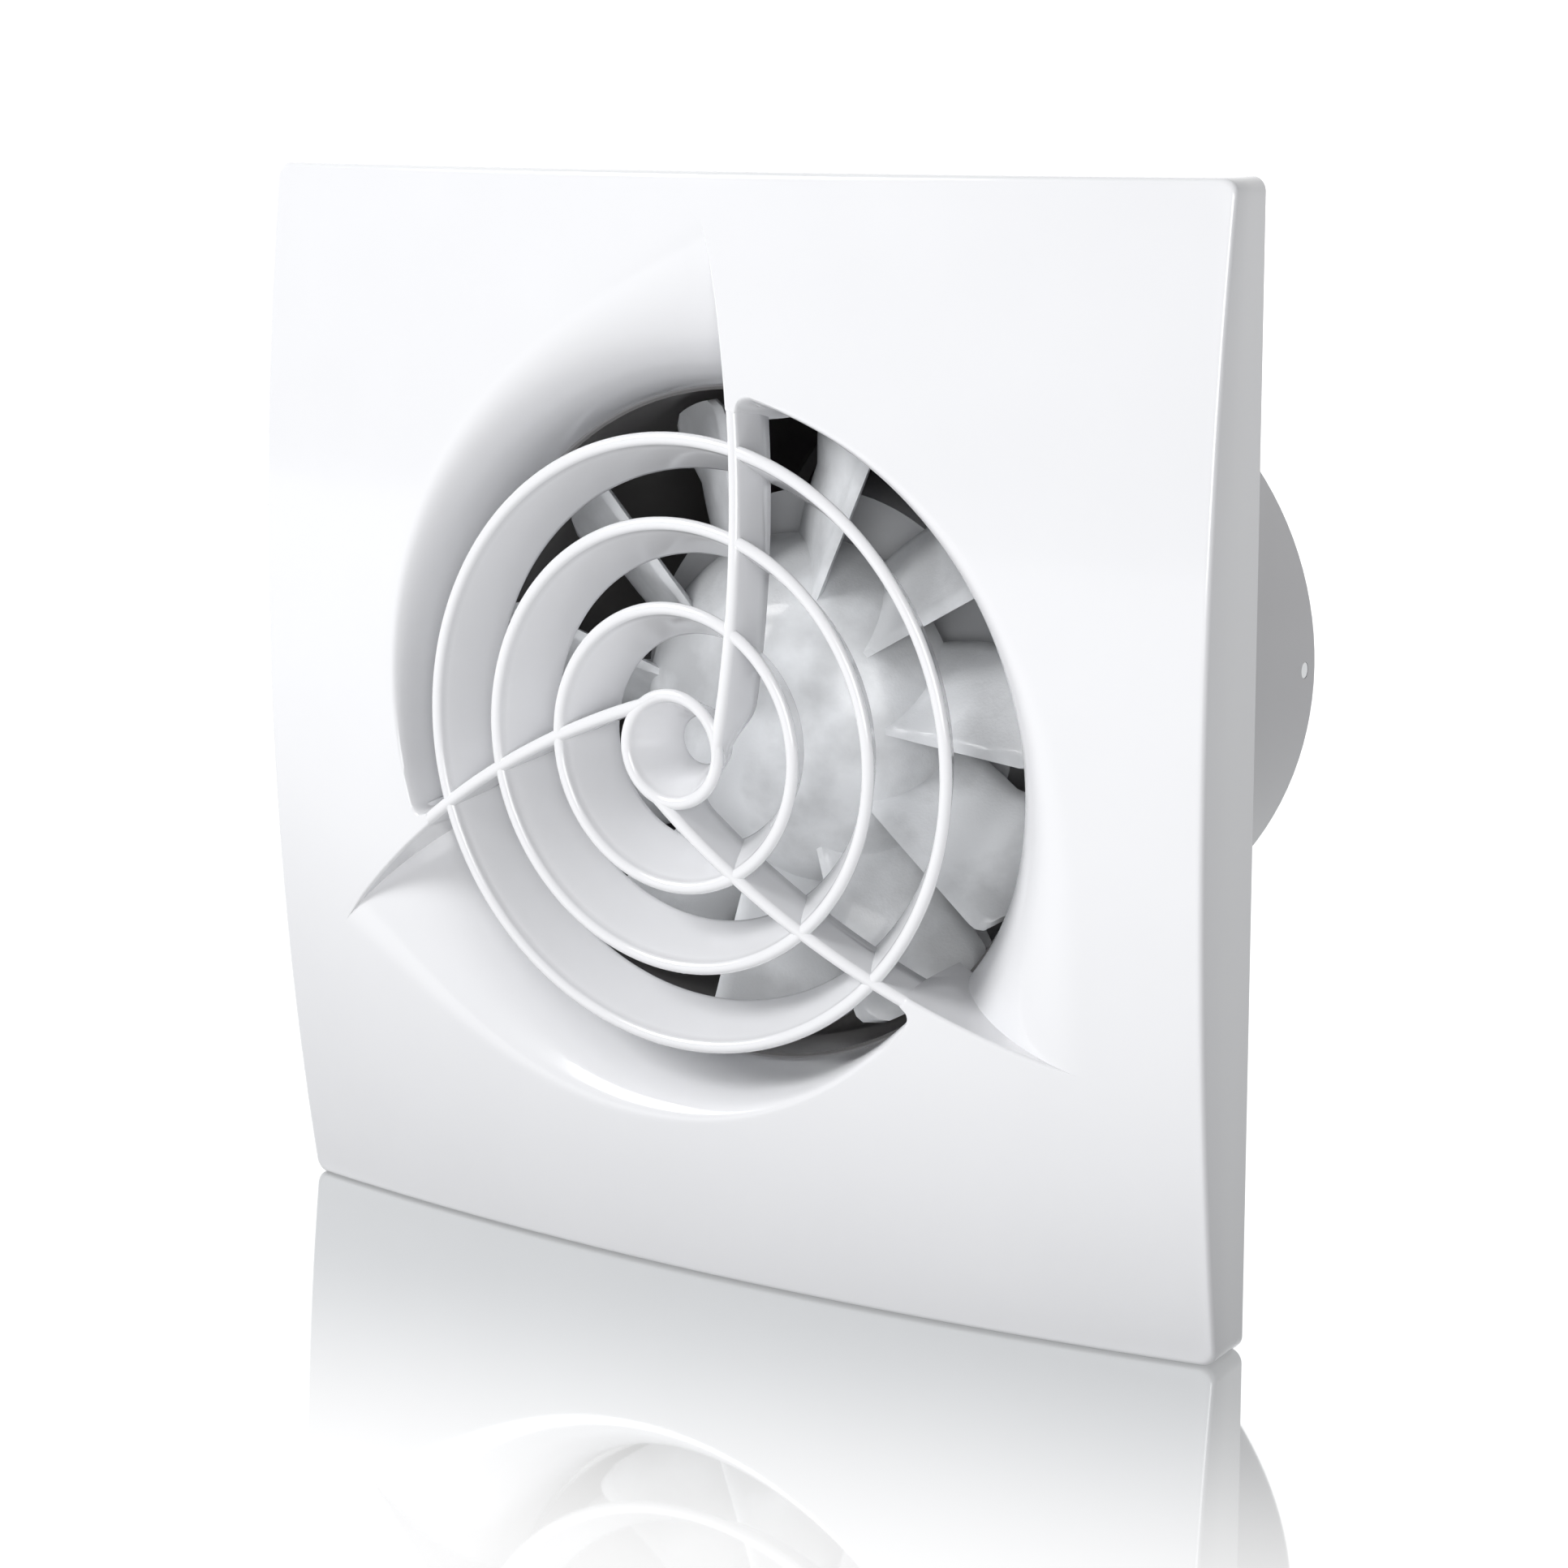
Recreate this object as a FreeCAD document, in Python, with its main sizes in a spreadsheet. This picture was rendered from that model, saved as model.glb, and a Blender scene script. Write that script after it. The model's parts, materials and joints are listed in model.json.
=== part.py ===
"""Bathroom extractor fan for a 100 mm duct, as a parametric FreeCAD document.

Row frame: +X to the right and +Z up as seen from the room, +Y into the wall. The origin is where the
duct axis meets the wall plane, so the wall face is y = 0, the cover is at y < 0 and the spigot at y > 0.
Lengths are in millimetres and angles in degrees, counted anticlockwise as seen from the room.
"""
import FreeCAD, Part
import math
import os
from types import SimpleNamespace

import Sketcher
from FreeCAD import Placement, Rotation, Vector

DIMENSIONS = {
    # front cover
    "cover_side": 158.0, "cover_corner": 2.0, "cover_skin": 2.2,
    "dome_radius": 472.6, "dome_apex": 21.7,
    "throat_radius": 48.9, "throat_back": 2.4,
    "lip_wide": 19.1, "lip_tight": 3.0, "lip_overlap": 0.3, "throat_wall": 1.2,
    "sector_from": 85.6, "sector_to": 198.5, "sector_span": 112.9,
    "ring_one": 8.6, "ring_two": 20.7, "ring_three": 32.4, "ring_four": 44.0,
    "ring_lip": 1.9, "ring_depth": 9.0, "ring_flare": 5.8, "ring_foot": 1.5,
    "arm_width": 1.9, "arm_depth": 8.5, "arm_curve": 145.0, "arm_bow_x": 10.3, "arm_bow_z": 29.5,
    "catch_reach": 1.0, "catch_width": 14.0, "catch_y": -6.5, "catch_thick": 1.5,
    # housing
    "plate_side": 153.0, "plate_thick": 2.0, "plate_corner": 1.5,
    "spigot_radius": 50.0, "spigot_wall": 1.7, "spigot_long": 82.0, "relief_long": 1.2, "relief_deep": 0.8,
    "fixing_pitch": 132.0, "fixing_hole": 2.25, "fixing_boss": 5.0,
    "clip_width": 10.0, "clip_thick": 1.5, "clip_x": 73.9, "clip_front": -8.5,
    "stop_inner": 46.2, "stop_y": 75.6, "stop_thick": 1.3,
    "ledge_y": 47.0, "ledge_long": 8.0, "ledge_width": 8.0, "ledge_inner": 43.0,
    "bracket_screw_at": 45.7, "slot_width": 4.0, "slot_angle": 70.0, "slot_back": 54.0, "slot_out": 58.0,
    # motor bracket and motor
    "cup_radius": 32.0, "cup_wall": 1.8, "cup_y": 19.0, "cup_floor": 2.0, "cup_back": 46.0,
    "bracket_arm": 2.2, "bracket_arm_y": 30.0, "foot_thick": 2.5, "foot_reach": 48.0,
    "motor_radius": 28.0, "shield_rim": 2.0, "shield_disc": 2.5, "shield_front": 21.0,
    "stator_y": 28.0, "stator_stack": 14.0, "yoke_inner": 20.0, "pole_width": 9.0, "pole_face": 11.5,
    "shoe_width": 14.0, "shoe_thick": 2.0, "bush_radius": 4.0, "bush_long": 5.2, "boss_radius": 6.5,
    "boss_wall": 1.2, "motor_screw_at": 24.0, "screw_shank": 1.25, "screw_hole": 1.4, "screw_head": 2.4,
    "head_thick": 1.7, "rotor_radius": 11.0, "end_ring": 1.5, "shaft_radius": 2.0, "shaft_front": 1.0,
    "shaft_back": 51.2, "bush_gap": 0.03, "washer_thick": 0.6, "washer_radius": 4.5,
    # impeller
    "hub_radius": 26.0, "hub_rise": 16.5, "hub_back": 14.0, "hub_skin": 1.6, "hub_boss": 4.5,
    "tip_radius": 46.8, "blade_count": 11.0, "blade_phase": -102.2, "blade_thick": 1.6,
    # terminal block and cable entry
    "block_x": 38.0, "block_z": 44.0, "block_long": 20.0, "block_deep": 9.5, "block_tall": 16.0,
    "pole_low": 48.0, "pole_high": 56.0, "wire_y": -6.5, "lead_radius": 0.75,
    "entry_x": 66.0, "entry_z": 26.0, "entry_hole": 4.5, "entry_bore": 3.0, "entry_flange": 6.5,
    "clamp_z": 34.0, "clamp_long": 15.0, "clamp_tall": 6.0, "clamp_screw": 5.0,
    # back-draught damper
    "axle_radius": 1.25, "axle_y": 78.5, "axle_half": 49.9, "barrel_radius": 2.4, "flap_radius": 47.4,
    "flap_thick": 1.2, "flap_y": 77.0, "flap_start": 3.0, "spring_coil": 1.9, "spring_wire": 0.3,
}

doc = FreeCAD.newDocument("extractor_fan")
sheet = doc.addObject("Spreadsheet::Sheet", "dims")
for row, (alias, value) in enumerate(DIMENSIONS.items(), start=1):
    sheet.set(f"A{row}", alias)
    sheet.set(f"B{row}", str(value))
    sheet.setAlias(f"B{row}", alias)
doc.recompute()

ALONG_Y = Rotation(Vector(1, 0, 0), -90)
ALONG_X = Rotation(Vector(0, 1, 0), 90)
ARM_TURNS = (0, 120, 240)
BRACKET_ARMS = (60, 180, 300)
# radius, leading angle, trailing angle, leading y and trailing y of a blade, from its root to past its tip
BLADE_SECTIONS = (
    (17, 4.1, 31.5, 3.8, 13.6),
    (25.5, 2.8, 31.5, 2.6, 13.6),
    (36.5, 1.9, 21.5, 1.1, 11.8),
    (48, 1.5, 21.5, -0.5, 10.1),
)
sub_parts = []


# ---------------------------------------------------------------- helpers
class Size(float):
    """A number that remembers how it follows from the sheet."""

    def __new__(cls, value, text=None):
        item = super().__new__(cls, value)
        item.text = text or f"({float(value)})"
        return item

    def _join(self, sign, value, left, right):
        return Size(value, f"({Size.of(left).text} {sign} {Size.of(right).text})")

    @staticmethod
    def of(value):
        return value if isinstance(value, Size) else Size(value)

    def __add__(self, other):
        return self._join("+", float(self) + float(other), self, other)

    def __radd__(self, other):
        return self._join("+", float(other) + float(self), other, self)

    def __sub__(self, other):
        return self._join("-", float(self) - float(other), self, other)

    def __rsub__(self, other):
        return self._join("-", float(other) - float(self), other, self)

    def __mul__(self, other):
        return self._join("*", float(self) * float(other), self, other)

    def __rmul__(self, other):
        return self._join("*", float(other) * float(self), other, self)

    def __truediv__(self, other):
        return self._join("/", float(self) / float(other), self, other)

    def __neg__(self):
        return self._join("-", -float(self), 0, self)

    def root(self):
        return Size(math.sqrt(self), f"sqrt({self.text})")


d = SimpleNamespace(**{alias: Size(sheet.get(alias), f"dims.{alias}") for alias in DIMENSIONS})


def bind(item, **properties):
    """Bind properties of a document object to sizes from the sheet."""
    for name, value in properties.items():
        item.setExpression(name.replace("__", "."), Size.of(value).text)
    return item


def place(item, x=0, y=0, z=0, turn=Rotation()):
    """Put an object at a position from the sheet, turned by a fixed rotation."""
    item.Placement = Placement(Vector(x, y, z), turn)
    return bind(item, Placement__Base__x=x, Placement__Base__y=y, Placement__Base__z=z)


def block(name, x, y, z, long_x, long_y, long_z):
    item = doc.addObject("Part::Box", name)
    bind(item, Length=long_x, Width=long_y, Height=long_z)
    return place(item, x, y, z)


def rod(name, radius, start, long, x=0, z=0):
    """A cylinder along +Y that starts at y = start."""
    item = doc.addObject("Part::Cylinder", name)
    bind(item, Radius=radius, Height=long)
    return place(item, x, start, z, ALONG_Y)


def cross_rod(name, radius, start, long, y=0, z=0):
    """A cylinder along +X that starts at x = start."""
    item = doc.addObject("Part::Cylinder", name)
    bind(item, Radius=radius, Height=long)
    return place(item, start, y, z, ALONG_X)


def cut(name, base, *tools):
    item = doc.addObject("Part::Cut", name)
    item.Base = base
    item.Tool = tools[0] if len(tools) == 1 else fuse(name + "_tools", *tools)
    return item


def fuse(name, *pieces):
    item = doc.addObject("Part::MultiFuse", name)
    item.Shapes = list(pieces)
    return item


def common(name, first, second):
    item = doc.addObject("Part::Common", name)
    item.Base = first
    item.Tool = second
    return item


def turned(name, source, angle):
    """The same shape turned about the duct axis, anticlockwise as seen from the room."""
    item = doc.addObject("Part::Compound", name)
    item.Links = [source]
    item.Placement = Placement(Vector(), Rotation(Vector(0, -1, 0), angle))
    return item


def around(name, source, angles):
    """Copies of a shape round the duct axis, as one object."""
    return fuse(name, *[turned(f"{name}_{int(a)}", source, a) for a in angles])


def from_shape(name, shape):
    """An object whose shape is worked out in code, for forms that no feature makes."""
    item = doc.addObject("Part::Feature", name)
    item.Shape = shape
    item.Placement = Placement()
    return item


def pin(sketch, kind, line, value):
    """Hold a line's first point at a distance from the sketch's origin."""
    if abs(value) < 1e-9:
        axis = -2 if kind == "DistanceX" else -1
        sketch.addConstraint(Sketcher.Constraint("PointOnObject", line, 1, axis))
        return
    index = sketch.addConstraint(Sketcher.Constraint(kind, -1, 1, line, 1, float(value)))
    sketch.setExpression(f"Constraints[{index}]", Size.of(value).text)


def outline(body, role, points):
    """A closed sketch of straight lines on one of the body's origin planes, pinned to the sheet."""
    sketch = body.newObject("Sketcher::SketchObject", body.Name + "_outline")
    plane = next(f for f in body.Origin.OriginFeatures if f.Role == role)
    sketch.AttachmentSupport = [(plane, "")]
    sketch.MapMode = "FlatFace"
    corners = [Vector(a, b, 0) for a, b in points]
    following = corners[1:] + corners[:1]
    sketch.addGeometry([Part.LineSegment(a, b) for a, b in zip(corners, following)], False)
    for i in range(len(corners)):
        sketch.addConstraint(Sketcher.Constraint("Coincident", i, 2, (i + 1) % len(corners), 1))
    for i, (a, b) in enumerate(points):
        pin(sketch, "DistanceX", i, a)
        pin(sketch, "DistanceY", i, b)
    return sketch


def revolved(name, points):
    """A body turned about the duct axis from (radius, y) points."""
    body = doc.addObject("PartDesign::Body", name)
    sketch = outline(body, "XY_Plane", points)
    turn = body.newObject("PartDesign::Revolution", name + "_turn")
    turn.Profile = sketch
    turn.ReferenceAxis = (sketch, ["V_Axis"])
    turn.Angle = 360
    body.Tip = turn
    return body


def padded(name, points, start, long, fillet=None):
    """A body padded along +Y from y = start, from (x, z) points, with its long edges rounded."""
    body = doc.addObject("PartDesign::Body", name)
    sketch = outline(body, "XZ_Plane", points)
    bind(sketch, AttachmentOffset__Base__z=-start)
    pad = body.newObject("PartDesign::Pad", name + "_pad")
    pad.Profile = sketch
    pad.Reversed = True
    bind(pad, Length=long)
    body.Tip = pad
    if fillet:
        doc.recompute()
        along_y = [f"Edge{i}" for i, e in enumerate(pad.Shape.Edges, start=1)
                   if len(e.Vertexes) == 2 and abs(e.tangentAt(e.FirstParameter).y) > 0.99]
        rounding = body.newObject("PartDesign::Fillet", name + "_rounding")
        rounding.Base = (pad, along_y)
        bind(rounding, Radius=fillet)
        body.Tip = rounding
    return body


def square(half):
    """The corners of a square about the duct axis, in (x, z)."""
    return [(-half, -half), (half, -half), (half, half), (-half, half)]


def sub_part(item, label):
    """Name a finished piece; its label names its file."""
    item.Label = label
    sub_parts.append(item)
    return item


def polar(radius, angle, y=0.0):
    a = math.radians(angle)
    return Vector(radius * math.cos(a), y, radius * math.sin(a))


def loft(wires, ruled=False):
    return Part.makeLoft(wires, True, ruled)


def dome_y(radius):
    """Height of the cover's domed front at a radius."""
    back = d.dome_radius - d.dome_apex
    return back - math.sqrt(d.dome_radius ** 2 - radius ** 2)


# ---------------------------------------------------------------- front cover
def lip_reach(angle):
    """How far a sector's rounded lip reaches outside the throat, at an angle past the sector's arm."""
    left = min(max(1 - angle / d.sector_span, 0.0), 1.0)
    return d.lip_tight + (d.lip_wide - d.lip_tight) * left ** 1.8


def dish_section(angle, wall):
    """Closed section of a sector's dish at an angle: the hollow, or with wall > 0 the hollow and its wall."""
    reach = lip_reach(angle - d.sector_from)
    back, front, core = -d.throat_back, -30.0, 44.0
    rim = Vector(d.throat_radius + reach, dome_y(d.throat_radius + reach), 0)
    wide = reach + d.lip_overlap - wall
    tall = min(reach, back - rim.y - 1.5) - wall
    middle = Vector(rim.x, rim.y + wall + tall, 0)
    low = Vector(middle.x - wide, middle.y, 0)
    top = Vector(middle.x, middle.y - tall, 0)
    corners = [top, Vector(middle.x, front, 0), Vector(core, front, 0), Vector(core, back, 0),
               Vector(low.x, back, 0), low]
    sides = [Part.makeLine(a, b) for a, b in zip(corners, corners[1:])]
    wire = Part.Wire([ellipse_arc(middle, wide, tall)] + sides)
    wire.rotate(Vector(0, 0, 0), Vector(0, -1, 0), angle)
    return wire


def ellipse_arc(middle, wide, tall):
    """Quarter ellipse from (middle.x - wide, middle.y) to (middle.x, middle.y - tall)."""
    points = [middle + Vector(-wide * math.cos(t), -tall * math.sin(t), 0)
              for t in (i * math.pi / 16 for i in range(9))]
    curve = Part.BSplineCurve()
    curve.interpolate(points, InitialTangent=Vector(0, -1, 0), FinalTangent=Vector(1, 0, 0))
    return curve.toShape()


def arm_edge(offset, low, high):
    """Arc of the upper arm at an offset from its middle line, between two heights."""
    radius = d.arm_curve + offset
    middle = Vector(d.arm_bow_x - d.arm_curve, 0, d.arm_bow_z)

    def at(z):
        return Vector(middle.x + math.sqrt(radius ** 2 - (z - middle.z) ** 2), 0, z)

    return Part.Arc(at(low), at((low + high) / 2), at(high)).toShape()


def strip(first, second, y_from, y_to):
    """A wall between two arcs in the (x, z) plane, extruded along Y."""
    a, b = first.Vertexes, second.Vertexes
    wire = Part.Wire([first, Part.makeLine(a[-1].Point, b[-1].Point), second,
                      Part.makeLine(b[0].Point, a[0].Point)])
    face = Part.Face(wire)
    face.translate(Vector(0, y_from, 0))
    return face.extrude(Vector(0, y_to - y_from, 0))


def dish(wall):
    """Solid of one sector's hollow, kept clear of the arm that it starts from."""
    start, end = d.sector_from - 14, d.sector_to + wall
    angles = [start + (end - start) * i / 24 for i in range(25)]
    body = loft([dish_section(a, wall) for a in angles], ruled=True)
    inner_edge = -d.arm_width / 2 + wall
    guard = strip(arm_edge(inner_edge, 36, 76), arm_edge(inner_edge + 22, 36, 76), -40, 5)
    return body.cut(guard)


def cover_panel():
    """The domed square shell with its three dished openings."""
    back_of_dome = d.dome_radius - d.dome_apex
    outside = padded("panel_outside", square(d.cover_side / 2), -30, 30, d.cover_corner)
    dome = doc.addObject("Part::Sphere", "panel_dome")
    bind(dome, Radius=d.dome_radius)
    place(dome, 0, back_of_dome, 0)
    shell = common("panel_solid", outside, dome)
    inside = padded("cavity_outside", square(d.cover_side / 2 - d.cover_skin), -30, 31)
    inner_dome = doc.addObject("Part::Sphere", "cavity_dome")
    bind(inner_dome, Radius=d.dome_radius - d.cover_skin)
    place(inner_dome, 0, back_of_dome, 0)
    cavity = common("cavity", inside, inner_dome)
    doc.recompute()
    walls, hollows = dish(1.8), dish(0.0)
    raised = from_shape("dish_walls", walls.common(shell.Shape))
    hollow = from_shape("dish_hollow", hollows)
    panel = cut("panel_shell", shell, cavity)
    wall_in, wall_out = d.throat_radius - 0.5, d.throat_radius + d.throat_wall
    wall_end = -d.throat_back - 0.2
    throat_wall = revolved("throat_wall", [
        (wall_in, -25), (wall_out, -25), (wall_out, wall_end), (wall_in, wall_end)])
    throat = common("throat", throat_wall, shell)
    bore = rod("throat_bore", d.throat_radius, -40, 50)
    joined = fuse("panel_joined", panel, throat, around("dish_wall_set", raised, ARM_TURNS))
    return cut("panel_open", joined, bore, around("dish_hollow_set", hollow, ARM_TURNS)), shell


def ring_corners(name):
    """Corners of a ring's section as (radius, y); its front lip lies on the dome and its wall flares back."""
    edge = getattr(d, name)
    lip = d.dome_radius - d.dome_apex - (d.dome_radius * d.dome_radius - edge * edge).root()
    foot = lip + d.ring_depth
    return [(edge - d.ring_lip, lip), (edge, lip),
            (edge - d.ring_flare + d.ring_foot, foot), (edge - d.ring_flare, foot)]


def ring_clearance(name, filled):
    """Solid that clears an arm from a ring and the room just ahead of it, or, filled, from all inside it."""
    inner, outer, foot_out, foot_in = ring_corners(name)
    ahead = inner[1] - 3
    corners = [(inner[0], ahead), (outer[0], ahead), outer, foot_out, foot_in, inner]
    if filled:
        corners = [(0, ahead), (outer[0], ahead), outer, foot_out, (0, foot_out[1])]
    points = [Vector(r, y, 0) for r, y in corners]
    return Part.Face(Part.makePolygon(points + points[:1])).revolve(Vector(), Vector(0, 1, 0), 360)


def front_cover():
    """Panel, rings and arms: one moulding, divided where they meet so that each gap of the grille is open."""
    panel, shell = cover_panel()
    reach = d.cover_side / 2 - d.cover_skin - d.catch_reach
    catch = block("catch", reach, d.catch_y, -d.catch_width / 2,
                  d.catch_reach + 0.5, d.catch_thick, d.catch_width)
    catches = around("catches", catch, (0, 90, 180, 270))
    sub_part(fuse("panel_moulding", panel, catches), "front_panel")
    names = ("ring_one", "ring_two", "ring_three", "ring_four")
    for name in names:
        sub_part(revolved("grille_" + name, ring_corners(name)), "grille_" + name)
    doc.recompute()
    half = d.arm_width / 2
    wall = strip(arm_edge(-half, 0, 50.5), arm_edge(half, 0, 50.5), -40, 0)
    back = Part.makeSphere(d.dome_radius, Vector(0, d.dome_radius - d.dome_apex, 0))
    back.translate(Vector(0, d.arm_depth, 0))
    throat = Part.makeCylinder(d.throat_radius, 60, Vector(0, -40, 0), Vector(0, 1, 0))
    arm = wall.common(shell.Shape).cut(back).common(throat)
    arm = arm.cut([ring_clearance(name, name == "ring_one") for name in names])
    sub_part(around("arms", from_shape("arm", arm), ARM_TURNS), "grille_arms")


# ---------------------------------------------------------------- housing
def housing():
    """Back plate and spigot: one moulding, divided where the spigot's root fills the plate's opening."""
    half = d.fixing_pitch / 2
    corners = [(sx * half, sz * half) for sx in (-1, 1) for sz in (-1, 1)]
    inner = d.spigot_radius - d.spigot_wall
    slot = block("lead_slot", inner - 1, -5, -d.slot_width / 2, d.spigot_wall + 2, d.slot_back + 5,
                 d.slot_width)
    mouth = block("lead_mouth", d.spigot_radius - 1, -5, -d.slot_width / 2,
                  d.slot_out - d.spigot_radius + 1, 5, d.slot_width)
    lead_way = turned("lead_way", fuse("lead_way_straight", slot, mouth), d.slot_angle)

    plate = padded("plate", square(d.plate_side / 2), -d.plate_thick, d.plate_thick, d.plate_corner)
    clip_stem = block("clip_stem", d.clip_x, d.clip_front, -d.clip_width / 2,
                      d.clip_thick, -d.clip_front - d.plate_thick / 2, d.clip_width)
    clip_barb = block("clip_barb", d.clip_x, d.clip_front, -d.clip_width / 2,
                      d.clip_thick + 1, 1.8, d.clip_width)
    clips = around("clips", fuse("clip", clip_stem, clip_barb), (0, 90, 180, 270))
    bosses = [rod(f"fixing_boss_{i}", d.fixing_boss, -d.plate_thick - 2, d.plate_thick + 1,
                  x, z) for i, (x, z) in enumerate(corners)]
    holes = [rod(f"fixing_{i}", d.fixing_hole, -10, 20, x, z) for i, (x, z) in enumerate(corners)]
    holes += [rod("plate_throat", d.spigot_radius, -10, 20),
              rod("entry_hole", d.entry_hole, -10, 20, d.entry_x, d.entry_z),
              rod("block_pilot", d.screw_shank + 0.05, -10, 20,
                  d.block_x + d.block_long / 2, d.block_z + d.block_tall / 2)]
    holes += [rod(f"clamp_pilot_{side}", d.screw_shank + 0.05, -10, 20,
                  d.entry_x + side * d.clamp_screw, d.clamp_z + d.clamp_tall / 2) for side in (-1, 1)]
    plate_blank = fuse("plate_blank", plate, clips, *bosses)
    sub_part(cut("plate_moulding", plate_blank, lead_way, *holes), "back_plate")

    outer = d.spigot_radius
    tube = revolved("spigot_tube", [
        (inner, -d.plate_thick), (outer, -d.plate_thick), (outer, -d.relief_long),
        (outer - d.relief_deep, -d.relief_long), (outer - d.relief_deep, 0), (outer, 0),
        (outer, d.spigot_long), (inner, d.spigot_long)])
    stop = revolved("stop_ring", [
        (d.stop_inner, d.stop_y), (d.spigot_radius - 1, d.stop_y),
        (d.spigot_radius - 1, d.stop_y + d.stop_thick), (d.stop_inner, d.stop_y + d.stop_thick)])
    ledge = block("ledge", d.ledge_inner, d.ledge_y, -d.ledge_width / 2,
                  d.spigot_radius - 1 - d.ledge_inner, d.ledge_long, d.ledge_width)
    pilot = rod("ledge_pilot", d.screw_shank + 0.05, d.ledge_y - 1, d.ledge_long + 2,
                d.bracket_screw_at)
    ledges = around("ledges", cut("ledge_drilled", ledge, pilot), BRACKET_ARMS)
    axle_holes = cross_rod("axle_holes", d.axle_radius + 0.05, -60, 120, d.axle_y)
    sub_part(cut("spigot_moulding", fuse("spigot_blank", tube, stop, ledges), lead_way, axle_holes),
             "spigot")


# ---------------------------------------------------------------- motor bracket
def motor_bracket():
    inner = d.cup_radius - d.cup_wall
    floor = d.cup_y + d.cup_floor
    cup = revolved("cup", [
        (d.boss_radius + 0.5, d.cup_y), (d.cup_radius, d.cup_y),
        (d.cup_radius, d.cup_back), (inner, d.cup_back), (inner, floor),
        (d.boss_radius + 0.5, floor)])
    arm = block("bracket_arm", inner + 0.5, d.bracket_arm_y, -d.bracket_arm / 2,
                d.ledge_inner + 1.5 - d.cup_radius + d.cup_wall,
                d.ledge_y - d.bracket_arm_y, d.bracket_arm)
    foot = block("bracket_foot", d.ledge_inner - 2, d.ledge_y - d.foot_thick,
                 -d.ledge_width / 2, d.foot_reach - d.ledge_inner + 2 - 0.5, d.foot_thick,
                 d.ledge_width)
    hole = rod("foot_hole", d.screw_hole, d.ledge_y - 5, 10, d.bracket_screw_at)
    head_room = rod("foot_head_room", d.screw_head + 0.4, d.bracket_arm_y - 1,
                    d.ledge_y - d.foot_thick - d.bracket_arm_y + 1, d.bracket_screw_at)
    arm_set = around("bracket_arms", cut("bracket_arm_drilled", fuse("bracket_arm_foot", arm, foot), hole,
                                         head_room), BRACKET_ARMS)
    boss = rod("bracket_boss", 3.2, d.cup_y - 2.5, d.cup_floor + 2, d.motor_screw_at)
    pilot = rod("bracket_pilot", d.screw_shank + 0.05, d.cup_y - 1.5, 10, d.motor_screw_at)
    bosses = around("bracket_bosses", boss, (0, 180))
    pilots = around("bracket_pilots", pilot, (0, 180))
    sub_part(cut("bracket_moulding", fuse("bracket_blank", cup, arm_set, bosses), pilots), "motor_bracket")


def headed_screw(name, under_head, tip, x=0, z=0):
    """A pan-head screw along Y whose head is on the room side."""
    shank = rod(name + "_shank", d.screw_shank, under_head, tip - under_head, x, z)
    head = rod(name + "_head", d.screw_head, under_head - d.head_thick, d.head_thick, x, z)
    recess = rod(name + "_recess", 0.9, under_head - d.head_thick - 1, 2, x, z)
    return cut(name, fuse(name + "_blank", shank, head), recess)


# ---------------------------------------------------------------- motor
def motor_stator():
    back = d.stator_y + d.stator_stack
    yoke = revolved("yoke", [
        (d.yoke_inner, d.stator_y), (d.motor_radius, d.stator_y),
        (d.motor_radius, back), (d.yoke_inner, back)])
    pole = block("pole", d.pole_face, d.stator_y, -d.pole_width / 2,
                 d.yoke_inner + 1 - d.pole_face, d.stator_stack, d.pole_width)
    shoe = block("pole_shoe", d.pole_face - 2, d.stator_y, -d.shoe_width / 2,
                 d.shoe_thick + 2, d.stator_stack, d.shoe_width)
    poles = around("poles", fuse("pole_and_shoe", pole, shoe), (45, 135, 225, 315))
    airgap = rod("airgap", d.pole_face, 0, 60)
    holes = around("yoke_holes", rod("yoke_hole", d.screw_hole, 0, 60, d.motor_screw_at), (0, 180))
    sub_part(cut("stator_laminations", fuse("stator_blank", yoke, poles), airgap, holes), "stator_core")

    def frame(name, radial, long, half, out_y):
        return block(name, radial, d.stator_y - out_y, -half, long,
                     d.stator_stack + 2 * out_y, 2 * half)

    window = frame("bobbin_window", 10, 12, d.pole_width / 2 + 0.1, 0.1)
    core = frame("bobbin_core", 13.8, 4.4, d.pole_width / 2 + 0.9, 0.9)
    inner_flange = frame("bobbin_inner_flange", 13.8, 0.8, d.pole_width / 2 + 3.2, 3.6)
    outer_flange = frame("bobbin_outer_flange", 17.4, 0.8, d.pole_width / 2 + 3.2, 3.6)
    bobbin = cut("bobbin", fuse("bobbin_blank", core, inner_flange, outer_flange), window)
    sub_part(around("bobbin_set", bobbin, (45, 135, 225, 315)), "coil_bobbins")
    copper = frame("coil_outside", 14.6, 2.8, d.pole_width / 2 + 3.2, 3.6)
    coil_window = frame("coil_window", 14, 6, d.pole_width / 2 + 0.9, 0.9)
    coil = cut("coil", copper, coil_window)
    sub_part(around("coil_set", coil, (45, 135, 225, 315)), "windings")


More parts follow.
